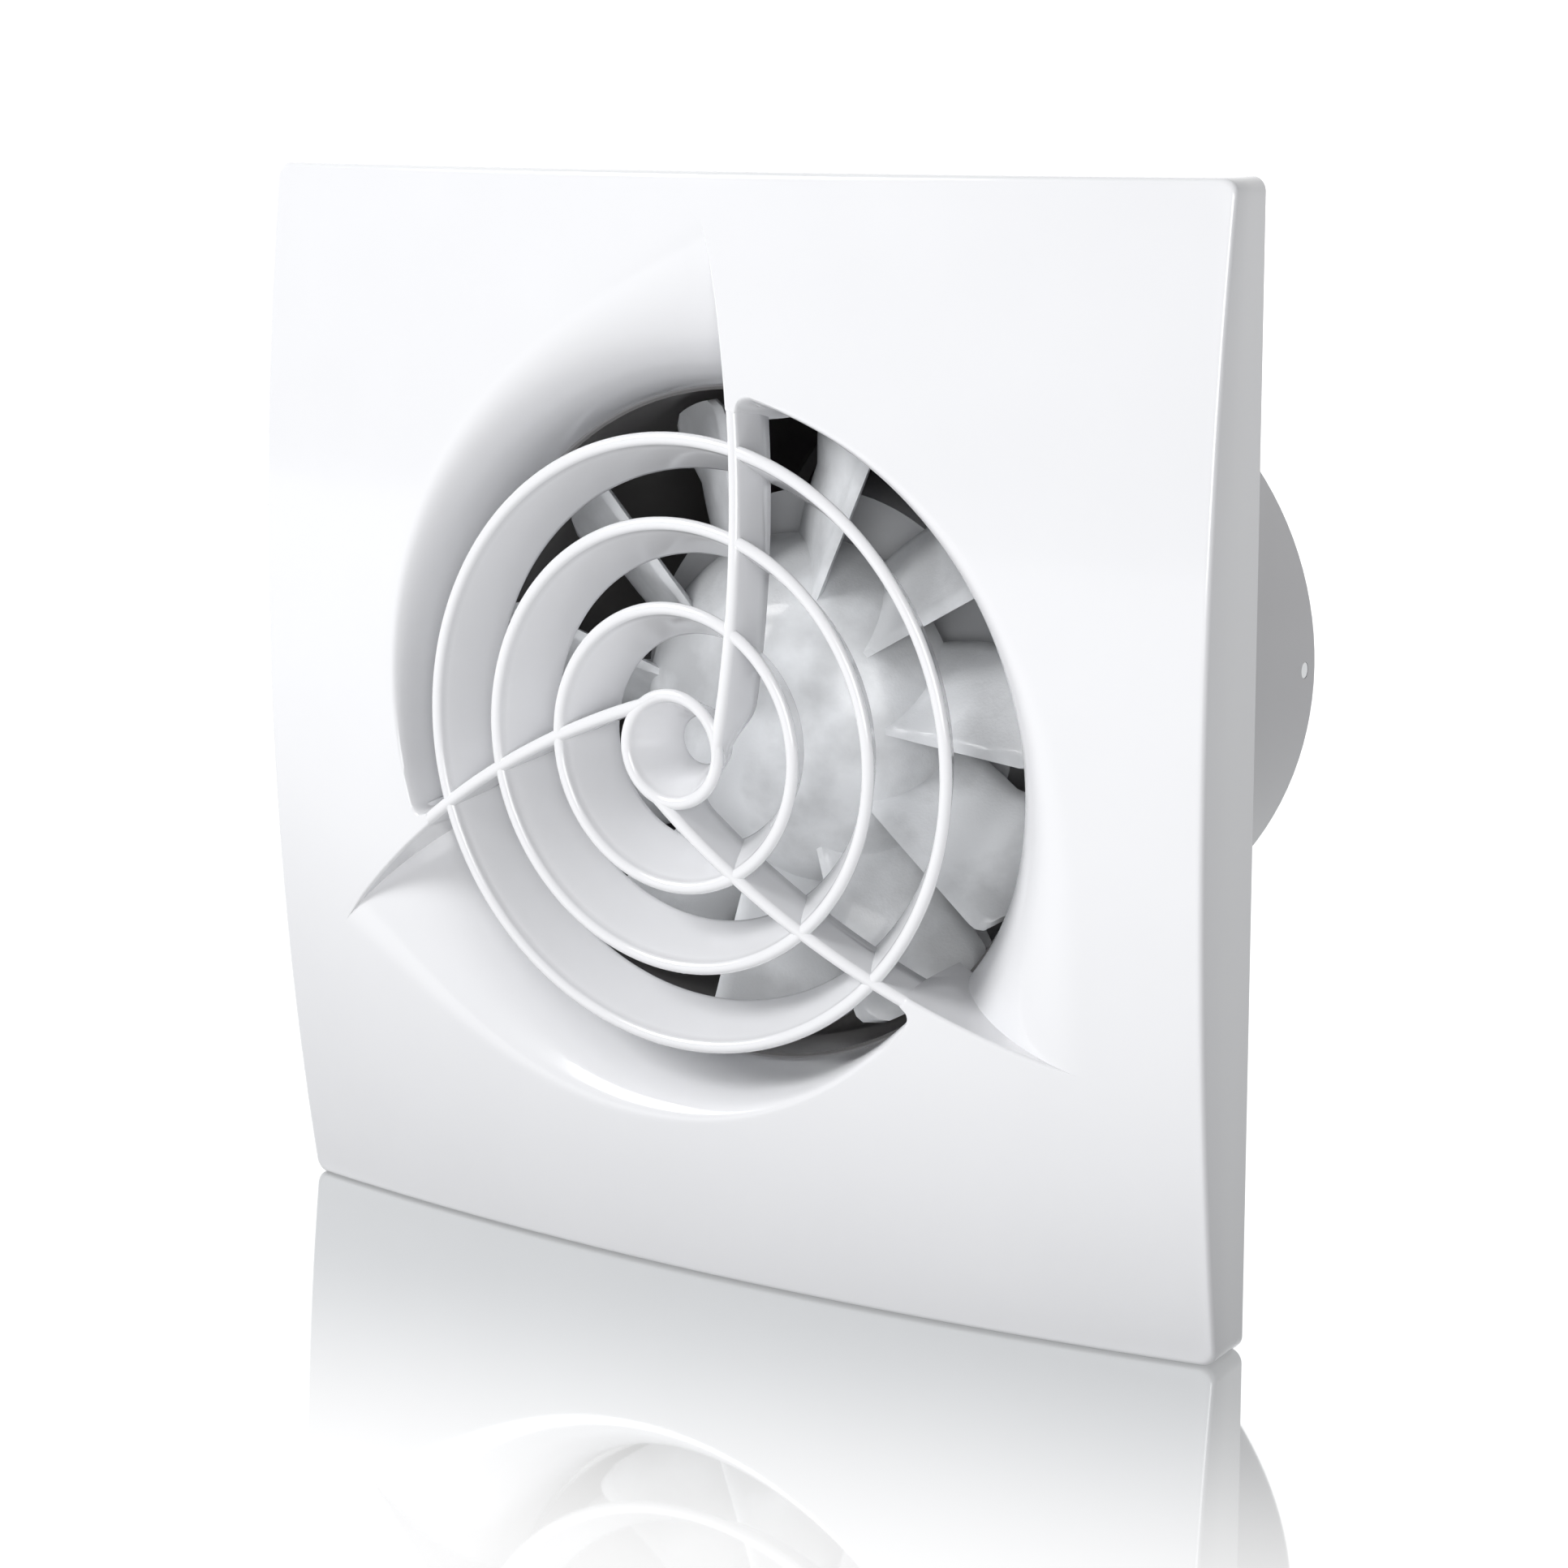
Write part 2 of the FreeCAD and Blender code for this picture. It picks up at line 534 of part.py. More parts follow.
def end_shields():
    rim, disc, front = d.motor_radius - d.shield_rim, d.shield_disc, d.shield_front
    nose = front + disc - d.bush_long - d.boss_wall
    front_body = revolved("front_shield_body", [
        (d.shaft_radius + 0.4, nose), (d.boss_radius, nose), (d.boss_radius, front),
        (d.motor_radius, front), (d.motor_radius, d.stator_y), (rim, d.stator_y),
        (rim, front + disc), (d.bush_radius, front + disc),
        (d.bush_radius, nose + d.boss_wall),
        (d.shaft_radius + 0.4, nose + d.boss_wall)])
    holes = around("shield_holes", rod("shield_hole", d.screw_hole, 0, 60, d.motor_screw_at), (0, 180))
    sub_part(cut("front_shield", front_body, holes), "front_end_shield")
    stack_back = d.stator_y + d.stator_stack
    back = stack_back + 7
    tail = back - disc + d.bush_long + d.boss_wall
    rear_body = revolved("rear_shield_body", [
        (0, tail - d.boss_wall), (d.bush_radius, tail - d.boss_wall),
        (d.bush_radius, back - disc), (rim, back - disc), (rim, stack_back),
        (d.motor_radius, stack_back), (d.motor_radius, back), (d.boss_radius, back),
        (d.boss_radius, tail), (0, tail)])
    lead_hole = turned("lead_hole", block("lead_hole_straight", 20, 40, -2.2, 4, 20, 4.4), d.slot_angle)
    rear_holes = around("rear_shield_holes",
                        rod("rear_shield_hole", d.screw_hole, 0, 60, d.motor_screw_at), (0, 180))
    sub_part(cut("rear_shield", rear_body, rear_holes, lead_hole), "rear_end_shield")

    def bush(name, start):
        end = start + d.bush_long
        bore = d.shaft_radius + d.bush_gap
        return revolved(name, [(bore, start), (d.bush_radius, start), (d.bush_radius, end), (bore, end)])

    sub_part(bush("front_bush", front + disc - d.bush_long), "front_bearing_bush")
    sub_part(bush("rear_bush", back - disc), "rear_bearing_bush")
    long = back - d.cup_y + 1
    shank = rod("motor_screw_shank", d.screw_shank, d.cup_y - 1, long, d.motor_screw_at)
    head = rod("motor_screw_head", d.screw_head, back, d.head_thick, d.motor_screw_at)
    screw = fuse("motor_screw", shank, head)
    sub_part(around("motor_screw_set", screw, (0, 180)), "motor_screws")


def rotor():
    back = d.stator_y + d.stator_stack
    sub_part(rod("shaft_rod", d.shaft_radius, d.shaft_front, d.shaft_back - d.shaft_front),
             "motor_shaft")
    sub_part(revolved("rotor_stack", [
        (d.shaft_radius, d.stator_y), (d.rotor_radius, d.stator_y),
        (d.rotor_radius, back), (d.shaft_radius, back)]), "rotor_core")

    def ring(name, start, inner, outer, thick):
        end = start + thick
        return revolved(name, [(inner, start), (outer, start), (outer, end), (inner, end)])

    rings = [ring("end_ring_front", d.stator_y - d.end_ring, 5, d.rotor_radius - 0.3, d.end_ring),
             ring("end_ring_back", back, 5, d.rotor_radius - 0.3, d.end_ring)]
    sub_part(fuse("end_rings", *rings), "rotor_end_rings")
    hole = d.shaft_radius + 0.02
    washers = [ring("washer_front", d.shield_front + d.shield_disc + 0.3, hole, d.washer_radius,
                    d.washer_thick),
               ring("washer_back", back + 3.6, hole, d.washer_radius, d.washer_thick)]
    sub_part(fuse("washers", *washers), "thrust_washers")


# ---------------------------------------------------------------- impeller
def blade_section(radius, lead, trail, lead_y, trail_y, middle):
    """Slanting section of a blade in the plane at a radius, square to the blade's middle angle."""
    along = radius * math.tan(math.radians(trail - middle)) - radius * math.tan(math.radians(lead - middle))
    slope = Vector(0, trail_y - lead_y, along).normalize()
    side = Vector(0, slope.z, -slope.y) * (d.blade_thick / 2)
    start = Vector(radius, lead_y, radius * math.tan(math.radians(lead - middle)))
    end = Vector(radius, trail_y, radius * math.tan(math.radians(trail - middle)))
    corners = [start + side, end + side, end - side, start - side]
    wire = Part.makePolygon(corners + corners[:1])
    wire.rotate(Vector(0, 0, 0), Vector(0, -1, 0), middle)
    return wire


def impeller():
    rise, radius, back = d.hub_rise, d.hub_radius, d.hub_back

    def hub(skin):
        wide, tall = radius - skin, rise - skin
        points = [Vector(wide * math.sin(t), back - tall * math.cos(t), 0)
                  for t in (i * math.pi / 20 for i in range(11))]
        curve = Part.BSplineCurve()
        curve.interpolate(points, InitialTangent=Vector(1, 0, 0), FinalTangent=Vector(0, 1, 0))
        edges = [curve.toShape(), Part.makeLine(points[-1], Vector(0, back, 0)),
                 Part.makeLine(Vector(0, back, 0), points[0])]
        return Part.Face(Part.Wire(edges)).revolve(Vector(0, 0, 0), Vector(0, 1, 0), 360)

    blade = loft([blade_section(*s, middle=12) for s in BLADE_SECTIONS], ruled=True)
    phase = d.blade_phase
    blades = []
    for i in range(int(d.blade_count)):
        copy = blade.copy()
        copy.rotate(Vector(0, 0, 0), Vector(0, -1, 0), phase + i * 360 / d.blade_count)
        blades.append(copy)
    sweep = Part.makeCylinder(d.tip_radius, 40, Vector(0, -10, 0), Vector(0, 1, 0))
    wheel = hub(0).fuse([b.common(sweep) for b in blades])
    wheel = wheel.cut(hub(d.hub_skin))
    boss = Part.makeCylinder(d.hub_boss, back + rise - 1, Vector(0, 1 - rise + back, 0), Vector(0, 1, 0))
    bore = Part.makeCylinder(d.shaft_radius, 30, Vector(0, d.shaft_front, 0), Vector(0, 1, 0))
    wheel = wheel.fuse(boss.common(hub(0))).cut(bore)
    sub_part(from_shape("impeller_moulding", wheel.removeSplitter()), "impeller")


# ---------------------------------------------------------------- wiring
def wire_path(points, bend):
    """Straight runs joined by tangent arcs of one radius, or less where a run is short."""
    edges, last = [], points[0]
    for before, corner, after in zip(points, points[1:], points[2:]):
        back, on = (before - corner).normalize(), (after - corner).normalize()
        half = back.getAngle(on) / 2
        room = 0.45 * min((before - corner).Length, (after - corner).Length)
        radius = min(bend, room * math.tan(half))
        reach = radius / math.tan(half)
        start, end = corner + back * reach, corner + on * reach
        inward = (back + on).normalize()
        middle = corner + inward * (radius / math.sin(half) - radius)
        edges += [Part.makeLine(last, start), Part.Arc(start, middle, end).toShape()]
        last = end
    return Part.Wire(edges + [Part.makeLine(last, points[-1])])


def lead(side, pole):
    """One motor lead, from the coils through the wall slot to its terminal."""
    tangent = polar(1, d.slot_angle + 90) * (side * 1.0)
    in_wall = d.spigot_radius - d.spigot_wall / 2
    height = -d.plate_thick * 0.75
    spots = [(21.6, 46.4), (21.6, 52), (in_wall, 52), (in_wall, height), (55.4, height), (55.4, d.wire_y)]
    points = [polar(r, d.slot_angle, y) + tangent for r, y in spots]
    points.append(Vector(d.block_x - 8, d.wire_y, pole))
    points.append(Vector(d.block_x + 4, d.wire_y, pole))
    path = wire_path(points, 1.4)
    profile = Part.Wire(Part.makeCircle(d.lead_radius, points[0], points[1] - points[0]))
    return path.makePipeShell([profile], True, True)


def terminals():
    """Two-pole terminal block with brass inserts, leads on its left and mains on its right."""
    front = -d.plate_thick - d.block_deep
    middle_x, middle_z = d.block_x + d.block_long / 2, d.block_z + d.block_tall / 2
    body = block("block_body", d.block_x, front, d.block_z, d.block_long, d.block_deep,
                 d.block_tall)
    poles = (d.pole_low, d.pole_high)
    tunnels = [cross_rod(f"tunnel_{i}", 2.2, d.block_x - 1, d.block_long + 2, d.wire_y, z)
               for i, z in enumerate(poles)]
    places = [(x, z) for z in poles for x in (d.block_x + 4.5, d.block_x + d.block_long - 4.5)]
    wells = [rod(f"well_{i}", 1.8, front - 1, d.block_deep - 4, x, z) for i, (x, z) in enumerate(places)]
    fixing = rod("block_fixing", d.screw_hole, -20, 30, middle_x, middle_z)
    groove = block("block_groove", d.block_x + 7.5, front, d.block_z - 1, 5, 2, 3)
    sub_part(cut("block_moulding", body, fixing, groove, *tunnels, *wells), "terminal_block")
    inserts = []
    for i, z in enumerate(poles):
        tube = cross_rod(f"insert_tube_{i}", 2.15, d.block_x + 1.5, d.block_long - 3, d.wire_y, z)
        inside = cross_rod(f"insert_bore_{i}", 1.5, d.block_x, d.block_long, d.wire_y, z)
        taps = [rod(f"tap_{i}_{j}", 1.1, -20, 20 + d.wire_y, x, z) for j, (x, _) in enumerate(places[:2])]
        inserts.append(cut(f"insert_{i}", tube, inside, *taps))
    sub_part(fuse("inserts", *inserts), "terminal_inserts")
    screws = []
    for i, (x, z) in enumerate(places):
        shank = rod(f"terminal_shank_{i}", 1.05, front + 1.5, 2.5, x, z)
        head = rod(f"terminal_head_{i}", 1.65, front + 0.6, 1.6, x, z)
        nick = block(f"terminal_nick_{i}", x - 2, front + 0.5, z - 0.25, 4, 0.7, 0.5)
        screws.append(cut(f"terminal_screw_{i}", fuse(f"terminal_blank_{i}", shank, head), nick))
    sub_part(fuse("terminal_screw_set", *screws), "terminal_screws")
    sub_part(headed_screw("block_screw", front, -0.4, middle_x, middle_z), "terminal_block_screw")
    sub_part(from_shape("lead_one", lead(1, d.pole_high)), "motor_lead_live")
    sub_part(from_shape("lead_two", lead(-1, d.pole_low)), "motor_lead_neutral")


def cable_entry():
    """Rubber grommet and saddle clamp where the supply cable comes through the back plate."""
    grommet = doc.addObject("PartDesign::Body", "grommet")
    sketch = outline(grommet, "XY_Plane", [
        (d.entry_bore, -d.plate_thick - 1.5), (d.entry_flange, -d.plate_thick - 1.5),
        (d.entry_flange, -d.plate_thick), (d.entry_hole, -d.plate_thick),
        (d.entry_hole, -0.1), (d.entry_bore, -0.1)])
    turn = grommet.newObject("PartDesign::Revolution", "grommet_turn")
    turn.Profile = sketch
    turn.ReferenceAxis = (sketch, ["V_Axis"])
    turn.Angle = 360
    grommet.Tip = turn
    place(grommet, d.entry_x, 0, d.entry_z)
    sub_part(grommet, "cable_grommet")
    left = d.entry_x - d.clamp_long / 2
    bar = block("clamp_bar", left, -d.plate_thick - 7, d.clamp_z, d.clamp_long, 7, d.clamp_tall)
    arch = block("clamp_arch", d.entry_x - 3, -d.plate_thick - 4.5, d.clamp_z - 1, 6, 10,
                 d.clamp_tall + 2)
    middle = d.clamp_z + d.clamp_tall / 2
    holes = [rod(f"clamp_hole_{side}", d.screw_hole, -20, 30, d.entry_x + side * d.clamp_screw, middle)
             for side in (-1, 1)]
    sub_part(cut("clamp", bar, arch, *holes), "cable_clamp")
    screws = [headed_screw(f"clamp_screw_{side}", -d.plate_thick - 7, -0.4,
                           d.entry_x + side * d.clamp_screw, middle) for side in (-1, 1)]
    sub_part(fuse("clamp_screws", *screws), "cable_clamp_screws")


# ---------------------------------------------------------------- back-draught damper
def flap(name, knuckles, up):
    """A half-disc flap with hinge barrels; up is 1 for the upper flap and -1 for the lower."""
    disc = rod(name + "_disc", d.flap_radius, d.flap_y, d.flap_thick)
    low = d.flap_start if up > 0 else -60
    half = block(name + "_half", -60, d.flap_y - 1, low, 120, 5, 60 - d.flap_start)
    plate = common(name + "_plate", disc, half)
    pieces = [plate]
    for i, (start, end) in enumerate(knuckles):
        pieces.append(cross_rod(f"{name}_barrel_{i}", d.barrel_radius, start, end - start, d.axle_y))
        pieces.append(block(f"{name}_web_{i}", start, d.flap_y, 0 if up > 0 else -d.flap_start - 0.5,
                            end - start, d.flap_thick, d.flap_start + 0.5))
    axle_way = cross_rod(name + "_axle_way", d.axle_radius + 0.06, -60, 120, d.axle_y)
    sub_part(cut(name + "_moulding", fuse(name + "_blank", *pieces), axle_way), name)


def spring(name, start, up):
    """A light torsion spring round the axle, with one leg lying on its flap."""
    coil = Part.makeHelix(0.75, 3.75, d.spring_coil)
    section = Part.Wire(Part.makeCircle(d.spring_wire, Vector(d.spring_coil, 0, 0), Vector(0, 1, 0.06)))
    wound = Part.Wire(coil).makePipeShell([section], True, True)
    wound.Placement = Placement(Vector(start, d.axle_y, 0),
                                Rotation(Vector(0, 0, 1), 90) * Rotation(Vector(1, 0, 0), 90))
    leg = Part.makeCylinder(d.spring_wire, 12, Vector(start + 0.19, d.axle_y + 0.02, up * d.spring_coil),
                            Vector(0, 0, up))
    sub_part(from_shape(name + "_wire", wound.fuse(leg)), name)


def damper():
    sub_part(cross_rod("axle_rod", d.axle_radius, -d.axle_half, 2 * d.axle_half, d.axle_y), "damper_axle")
    flap("upper_damper_flap", [(-44, -30), (-6, 6), (16, 30)], 1)
    flap("lower_damper_flap", [(-29.6, -14), (30.4, 44)], -1)
    spring("upper_damper_spring", 8, 1)
    spring("lower_damper_spring", -12, -1)


def bracket_screws():
    screw = headed_screw("bracket_screw", d.ledge_y - d.foot_thick, d.ledge_y + 7,
                         d.bracket_screw_at)
    sub_part(around("bracket_screw_set", screw, BRACKET_ARMS), "bracket_screws")


def write():
    """Check every object and write one file for each sub-part."""
    doc.recompute()
    faults = [o.Name for o in doc.Objects if "Invalid" in o.State or "Error" in o.State]
    for item in sub_parts:
        if item.Shape.isNull() or not item.Shape.isValid() or not item.Shape.Solids:
            faults.append(item.Label)
    if faults:
        raise RuntimeError(f"these objects failed: {sorted(set(faults))}")
    os.makedirs("parts", exist_ok=True)
    for item in sub_parts:
        item.Shape.exportStep(f"parts/{item.Label}.step")
        print(f"{item.Label:22s} {len(item.Shape.Solids)} solids {item.Shape.Volume:10.1f} mm3")


front_cover()
housing()
motor_bracket()
bracket_screws()
motor_stator()
end_shields()
rotor()
impeller()
terminals()
cable_entry()
damper()
write()
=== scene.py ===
"""Looks for the bathroom extractor fan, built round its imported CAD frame.

Lengths in the shape code are in millimetres, in the CAD frame: +X right and +Z up as seen from the room,
+Y into the wall, origin where the duct axis meets the wall plane. Angles are anticlockwise from +X as seen
from the room. Meshes are scaled to metres when they are made.
"""
import json
import math

import bmesh
import bpy
from mathutils import Matrix, Vector

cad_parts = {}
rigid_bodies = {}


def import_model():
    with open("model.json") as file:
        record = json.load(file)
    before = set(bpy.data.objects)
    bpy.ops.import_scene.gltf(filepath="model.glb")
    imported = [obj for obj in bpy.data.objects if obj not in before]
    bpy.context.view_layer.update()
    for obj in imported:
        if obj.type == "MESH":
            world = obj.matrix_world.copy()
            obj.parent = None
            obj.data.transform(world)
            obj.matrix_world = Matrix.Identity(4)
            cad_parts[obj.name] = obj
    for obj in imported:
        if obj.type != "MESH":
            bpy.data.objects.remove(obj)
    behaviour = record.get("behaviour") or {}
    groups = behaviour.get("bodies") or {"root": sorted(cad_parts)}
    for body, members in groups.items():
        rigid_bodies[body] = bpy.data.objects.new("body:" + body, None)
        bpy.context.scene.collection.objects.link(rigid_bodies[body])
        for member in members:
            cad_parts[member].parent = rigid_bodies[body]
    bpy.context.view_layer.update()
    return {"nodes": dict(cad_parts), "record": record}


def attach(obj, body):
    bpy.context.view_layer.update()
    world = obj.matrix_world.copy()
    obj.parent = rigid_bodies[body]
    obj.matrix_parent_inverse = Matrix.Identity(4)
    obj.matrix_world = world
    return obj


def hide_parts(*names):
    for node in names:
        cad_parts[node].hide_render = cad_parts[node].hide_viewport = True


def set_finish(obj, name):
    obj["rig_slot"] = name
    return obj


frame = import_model()

MM = 0.001
FIXED, ROTOR = "fixed", "rotor"
ARMS = (0, 120, 240)

# ---------------------------------------------------------------- sizes, in millimetres
COVER_HALF = 79.0
DOME_APEX = 21.7
DOME_RADIUS = 472.6
COVER_CORNER, INNER_CORNER, CORNER_CROWD = 2.0, 0.5, 0.2
COVER_SKIN, WALL_SKIN = 2.2, 1.3
EDGE_ROUND, RIM_CORNER = 0.9, 0.3
THROAT_RADIUS = 48.9
THROAT_BACK = -2.4
# a dish's reach past the throat: everywhere, more towards its own arm, and more again close beside the arm
LIP_TIGHT, LIP_TAPER, LIP_FLARE = 2.0, 15.0, 6.9
LIP_TAPER_POWER, LIP_FLARE_POWER = 1.45, 8
# the dish's back reaches this much further out and lies this much deeper than its front and the skin
BACK_REACH, BACK_DROP = 0.6, 0.2
# a dish is round in section, and falls away sooner beside its arm
DISH_BEND, DISH_BEND_LOSS = 2.0, 0.4
# degrees past an arm at which its dish has shrunk to the tight lip, and at which the next arm begins
SECTOR_SPAN, SECTOR = 112.0, 120.0
CLIFF_ROUND, CLIFF_FADE = 0.55, 6.0
CORNER_FILLET = 2.6
# the dished part of the panel is laid out in circles up to this radius
PANEL_ROUND = 75.0
RINGS = ((8.6, 3.45), (20.7, 15.0), (32.4, 26.3), (44.0, 38.1))
RING_LIP, RING_DEPTH, RING_FOOT = 1.9, 9.0, 1.5
RING_NOSE, RING_HEEL, RING_BOW = 0.75, 0.35, 0.9
ARM_WIDTH, ARM_DEPTH, ARM_CURVE = 1.9, 8.5, 145.0
ARM_NOSE, ARM_CURL, CURL_LENGTH = 0.7, 3.0, 8.0
# the upper arm bows out to this x, at this z
ARM_BOW = (10.3, 29.5)
SPIGOT_RADIUS = 50.0
BLADES, BLADE_PHASE = 11, -102.2
ROOT_RADIUS, TIP_RADIUS, TIP_ROUND = 17.5, 46.8, 3.2
BLADE_HALF_THICK, BLADE_EDGE = 0.8, 0.04
# leading edge: how far off a radial line, how deep, and how much further forward for each millimetre out
LEAD_OFFSET, LEAD_DEPTH, LEAD_SWEEP = 1.23, 3.48, 0.136
# trailing edge in degrees past the radial line, and the extra at the root that fades out from a radius
TRAIL_ANGLE, ROOT_FLARE, FLARE_FROM, FLARE_OVER = 24.0, 7.5, 25.5, 11.0
# depth between the two edges, growing outwards from a radius, and the steeper part behind the fold
BLADE_RISE, RISE_GROWTH, RISE_FROM = 7.0, 0.22, 19.0
FOLD_DEPTH, FOLD_FROM, FOLD_OVER, FOLD_SOFT = 4.0, 24.0, 20.0, 0.04
HUB_RADIUS, HUB_RISE, HUB_BACK, HUB_SKIN = 26.0, 16.5, 14.0, 1.6
FLOOR_Z = -COVER_HALF

# ---------------------------------------------------------------- camera and lighting, in metres and watts
# camera place in millimetres; yaw, pitch and roll in degrees
CAMERA_PLACE, CAMERA_TURN, CAMERA_LENS = (270.45, -404.66, 97.70), (33.276, 12.353, -0.516), 79.16
KEY_PLACE, KEY_SIZE, KEY_POWER = (-1.18, -1.30, 1.15), (0.9, 0.9), 36
FILL_PLACE, FILL_SIZE, FILL_POWER = (0.95, -1.65, 0.25), (1.1, 1.1), 20
# world strength on the room's side and behind the fan, and the direction in which it rises
ROOM_LIGHT, BACKDROP_LIGHT = 0.13, 1.35
BACKDROP_WAY, BACKDROP_EDGES = (-0.55, 0.83, 0.0), (0.1, 0.75)
# the floor turns from mirror to plain white over these distances from the fan, along this direction
FLOOR_REACH, FLOOR_WAY, FLOOR_EDGES = 3.0, (0.15, -0.99, 0.0), (0.02, 0.115)
MIRROR_TINT, WHITE_TINT = (0.60, 0.615, 0.62), (0.10, 0.10, 0.10)
MIRROR_GLOW, WHITE_GLOW = 0.21, 0.92


# ---------------------------------------------------------------- mesh helpers
def point(radius, angle, y):
    """A point at a radius and an angle in degrees about the duct axis."""
    a = math.radians(angle)
    return (radius * math.cos(a), y, radius * math.sin(a))


def make(name, verts, faces, body, slot, node, sharp):
    """A piece from points in millimetres in place of a CAD node, smooth apart from its sharp edges."""
    mesh = bpy.data.meshes.new(name)
    mesh.from_pydata([tuple(c * MM for c in v) for v in verts], [], faces)
    work = bmesh.new()
    work.from_mesh(mesh)
    bmesh.ops.remove_doubles(work, verts=work.verts, dist=1e-7)
    bmesh.ops.dissolve_degenerate(work, edges=work.edges, dist=1e-8)
    bmesh.ops.recalc_face_normals(work, faces=work.faces)
    work.to_mesh(mesh)
    work.free()
    for face in mesh.polygons:
        face.use_smooth = True
    mesh.set_sharp_from_angle(angle=math.radians(sharp))
    item = bpy.data.objects.new(name, mesh)
    bpy.context.scene.collection.objects.link(item)
    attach(item, body)
    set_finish(item, slot)
    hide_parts(node)


def grid_faces(rows, columns, wrap_rows=False, wrap_columns=False, start=0):
    """Quads over points stored row by row."""
    faces = []
    for i in range(rows if wrap_rows else rows - 1):
        for j in range(columns if wrap_columns else columns - 1):
            a, b = (i % rows), ((i + 1) % rows)
            c, d = (j % columns), ((j + 1) % columns)
            faces.append((start + a * columns + c, start + a * columns + d,
                          start + b * columns + d, start + b * columns + c))
    return faces


def lathe(profile, steps=192):
    """Points and quads of a closed (radius, y) profile turned about the duct axis."""
    verts = [point(r, 360 * i / steps, y) for i in range(steps) for r, y in profile]
    return verts, grid_faces(steps, len(profile), wrap_rows=True, wrap_columns=True)


def clamp(t):
    return min(max(t, 0.0), 1.0)


def smooth(t):
    t = clamp(t)
    return t * t * (3 - 2 * t)


def dome_y(radius):
    """Height of the cover's domed front."""
    return DOME_RADIUS - DOME_APEX - math.sqrt(DOME_RADIUS ** 2 - radius ** 2)


def arm_angle(radius, offset):
    """Angle at which a line at an offset outside the upper arm's middle crosses a radius."""
    cx, cz = ARM_BOW[0] - ARM_CURVE, ARM_BOW[1]
    centre, turn = math.hypot(cx, cz), math.atan2(cz, cx)
    curve = ARM_CURVE + offset
    cosine = (radius ** 2 + centre ** 2 - curve ** 2) / (2 * radius * centre)
    return math.degrees(turn - math.acos(cosine))


# ---------------------------------------------------------------- cover panel
def square_point(half, corner, angle):
    """Where a ray at an angle meets a square outline with rounded corners."""
    a = math.radians(angle)
    dx, dz = math.cos(a), math.sin(a)
    ax, az = abs(dx), abs(dz)
    reach = half / max(ax, az)
    x, z = ax * reach, az * reach
    inner = half - corner
    if min(x, z) > inner:
        along = (ax + az) * inner
        reach = along + math.sqrt(max(along ** 2 - 2 * inner ** 2 + corner ** 2, 0.0))
    return dx * reach, dz * reach


def corner_warp(angle):
    """Crowds columns towards the square's corners."""
    return angle - math.degrees(CORNER_CROWD * math.sin(4 * math.radians(angle - 45)))


def notch(sector):
    """How far the opening's edge steps inwards, to round the corner against the next arm."""
    arm_side = SECTOR - math.degrees(ARM_WIDTH / THROAT_RADIUS)
    gap = math.radians(arm_side - sector) * THROAT_RADIUS
    if gap >= CORNER_FILLET:
        return 0.0
    gap = max(gap, 0.0)
    return CORNER_FILLET - math.sqrt(CORNER_FILLET ** 2 - (CORNER_FILLET - gap) ** 2)


def nearness(sector):
    """1 beside the dish's own arm, falling to 0 at the end of the dish."""
    return clamp(1 - sector / SECTOR_SPAN)


def lip_reach(sector):
    """How far the dish reaches out past the throat."""
    near = nearness(sector)
    return LIP_TIGHT + LIP_TAPER * near ** LIP_TAPER_POWER + LIP_FLARE * near ** LIP_FLARE_POWER


def front_surface(sector, radius, inner):
    """Height of the panel's front at an angle past an arm: the dome, and the dish sunk into it."""
    rim = inner + lip_reach(sector)
    deep = THROAT_BACK - dome_y(inner)
    bend = DISH_BEND - DISH_BEND_LOSS * nearness(sector) ** 3
    inward = clamp((rim - radius) / (rim - inner))
    return dome_y(radius) + deep * (1 - (1 - inward ** bend) ** (1 / bend))


def cliff_round(sector, radius):
    """Drop of the small rounding on the arm's edge above the next dish."""
    gap = math.radians(SECTOR - sector) * radius
    bend = CLIFF_ROUND * smooth((THROAT_RADIUS + lip_reach(0.0) - radius) / CLIFF_FADE)
    if gap >= bend or bend <= 0:
        return 0.0
    return bend - math.sqrt(max(bend ** 2 - (bend - gap) ** 2, 0.0))


def sector_angles():
    """Column angles within a sector, closer together at the arm and at the opening's rounded corner."""
    beside_arm = [0.25 * i for i in range(8)]
    middle = [2 + 0.75 * i for i in range(145)]
    last, corner = middle[-1], 119.3
    narrowing = [last + (corner - last) * i / 36 for i in range(1, 37)]
    rounded = [corner + (SECTOR - corner) * (1 - (1 - i / 8) ** 2) for i in range(1, 9)]
    return beside_arm + middle + narrowing + rounded


def cover_panel():
    """The domed square shell with its three dished openings, as one closed mesh."""
    stations = 52
    # stations from the throat outwards, closer together at the throat
    spread = [(i / stations) ** 2.1 for i in range(stations + 1)]
    verts, columns = [], 0
    for arm in ARMS:
        for sector in sector_angles():
            verts += panel_column(arm, sector, spread)
            columns += 1
    rows = len(verts) // columns
    faces = grid_faces(columns, rows, wrap_rows=True, wrap_columns=True)
    make("cover_panel", verts, faces, FIXED, "cover_white", "front_panel", 40)


